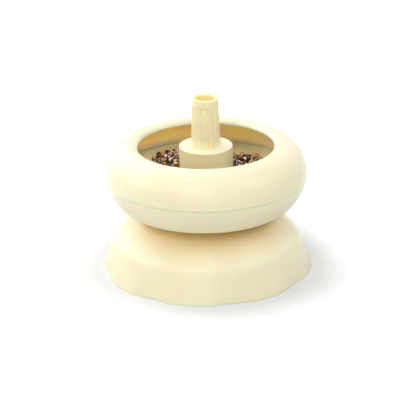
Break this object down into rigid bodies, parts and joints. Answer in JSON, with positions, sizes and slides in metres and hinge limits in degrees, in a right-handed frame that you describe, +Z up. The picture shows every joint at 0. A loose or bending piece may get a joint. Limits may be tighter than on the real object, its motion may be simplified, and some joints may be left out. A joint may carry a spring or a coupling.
{
  "type": "bead spinner",
  "caption": "Hand bead spinner: a bead bowl with an in-rolled rim and a fluted finger post spins on a bell-shaped base with a lobed foot.",
  "frame": {"origin": "centre of the base's resting face, on the spin axis", "axes": "+Z up along the spin axis, -Y towards the front of the picture's view"},
  "size_m": [0.102, 0.102, 0.0866],
  "materials": {
    "shell_plastic": "cream moulded plastic, satin gloss, slightly translucent",
    "steel": "turned steel",
    "bearing_plastic": "natural white bearing plastic",
    "bead_glass": "mixed metallic, lustre and clear seed beads"
  },
  "bodies": {
    "base": {"base_shell": "shell_plastic", "spindle": "steel", "clamp_washer": "steel", "spindle_screw": "steel", "thrust_washer": "bearing_plastic", "spindle_clip": "steel"},
    "bearing": {"bearing_bush": "bearing_plastic"},
    "bowl": {"bowl_tray": "shell_plastic", "bowl_rim": "shell_plastic", "hub_collar": "shell_plastic", "grip_post": "shell_plastic", "seed_beads": "bead_glass"}
  },
  "joints": [
    {"name": "bowl_spin", "type": "hinge", "parent": "base", "child": "bearing", "pos_m": [0, 0, 0.0302], "axis": [0, 0, 1], "continuous": true},
    {"name": "bowl_lift", "type": "slide", "parent": "bearing", "child": "bowl", "axis": [0, 0, 1], "range_m": [0, 0.045]}
  ]
}
